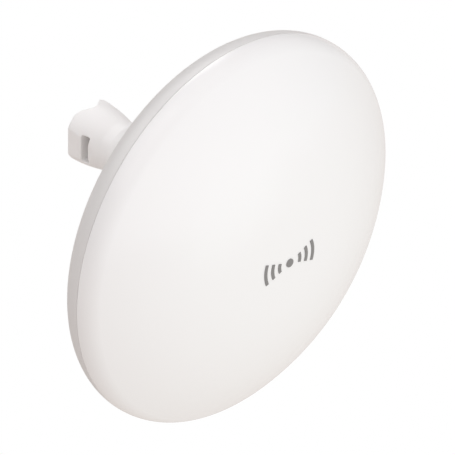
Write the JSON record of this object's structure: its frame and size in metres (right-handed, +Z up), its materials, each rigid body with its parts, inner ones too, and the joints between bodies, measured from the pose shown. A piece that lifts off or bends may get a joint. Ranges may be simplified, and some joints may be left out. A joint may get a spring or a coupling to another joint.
{
  "type": "outdoor wireless bridge",
  "caption": "Round outdoor radio antenna with a domed white cover, a ball joint with lock nut, and a bracket that clamps to a mast; aims by roll, pan and tilt.",
  "frame": {"origin": "bottom of the bracket's upright V saddle, on the bracket's axis, where the mast rests", "axes": "+Y out of the saddle towards the mast, dish facing -Y, +Z up along the mast, +X to the right seen from the front"},
  "size_m": [0.189, 0.1279, 0.189],
  "materials": {
    "cover_plastic": "fine satin, warm white",
    "shell_plastic": "fine satin, warm white",
    "bracket_plastic": "fine satin, warm white",
    "acetal": "smooth natural",
    "steel": "zinc plated",
    "dark_rubber": "matte",
    "emblem_grey": "printed satin grey",
    "spun_aluminium": "spun",
    "board_laminate": "solder mask green",
    "tinned_can": "tinned",
    "chip_black": "moulded",
    "pad_grey": "soft",
    "jack_black": "moulded",
    "clear_pipe": "polished clear",
    "button_grey": "fine satin"
  },
  "bodies": {
    "bracket": {"pole_bracket": "bracket_plastic"},
    "washer": {"slip_washer": "acetal"},
    "nut": {"lock_nut": "shell_plastic"},
    "clamp_ring": {"ball_clamp_ring": "acetal"},
    "pins": {"key_pins": "steel"},
    "antenna": {"ball_stud": "bracket_plastic", "ball_stud_screws": "steel", "rear_shell": "shell_plastic", "rear_hub": "shell_plastic", "radome": "cover_plastic", "radome_seal": "dark_rubber", "front_emblem": "emblem_grey", "reflector": "spun_aluminium", "reflector_screws": "steel", "feed_base": "spun_aluminium", "feed_screws": "steel", "feed_tube": "spun_aluminium", "feed_cone": "acetal", "sub_reflector": "spun_aluminium", "radio_board": "board_laminate", "board_shield": "tinned_can", "radio_chip": "chip_black", "thermal_pad": "pad_grey", "board_screws": "steel", "ethernet_jack": "jack_black", "reset_switch": "chip_black", "status_leds": "chip_black", "light_pipes": "clear_pipe"},
    "reset_button": {"reset_button": "chip_black"},
    "port_cover": {"port_cover": "shell_plastic", "cable_grommet": "dark_rubber"},
    "latch_button": {"cover_latch_button": "button_grey"}
  },
  "joints": [
    {"name": "nut_travel", "type": "slide", "parent": "bracket", "child": "washer", "axis": [0, -1, 0], "range_m": [0, 0.0012]},
    {"name": "nut_turn", "type": "hinge", "parent": "washer", "child": "nut", "pos_m": [0, -0.029, 0], "axis": [0, -1, 0], "range_deg": [0, 144]},
    {"name": "roll", "type": "hinge", "parent": "bracket", "child": "clamp_ring", "pos_m": [0, -0.029, 0], "axis": [0, 1, 0], "range_deg": [-90, 90]},
    {"name": "pan", "type": "hinge", "parent": "clamp_ring", "child": "pins", "pos_m": [0, -0.029, 0], "axis": [0, 0, 1], "range_deg": [-15, 15]},
    {"name": "tilt", "type": "hinge", "parent": "pins", "child": "antenna", "pos_m": [0, -0.029, 0], "axis": [1, 0, 0], "range_deg": [-15, 15]},
    {"name": "port_cover_slide", "type": "slide", "parent": "antenna", "child": "port_cover", "axis": [0, 0, -1], "range_m": [0, 0.014]},
    {"name": "latch_press", "type": "slide", "parent": "port_cover", "child": "latch_button", "axis": [-1, 0, 0], "range_m": [0, 0.001], "stiffness_N_per_m": 400},
    {"name": "reset_press", "type": "slide", "parent": "antenna", "child": "reset_button", "axis": [0, -1, 0], "range_m": [0, 0.0005], "stiffness_N_per_m": 600}
  ],
  "couplings": [
    {"joint": "nut_travel", "follows": "nut_turn", "m_per_rad": 0.00047746}
  ]
}
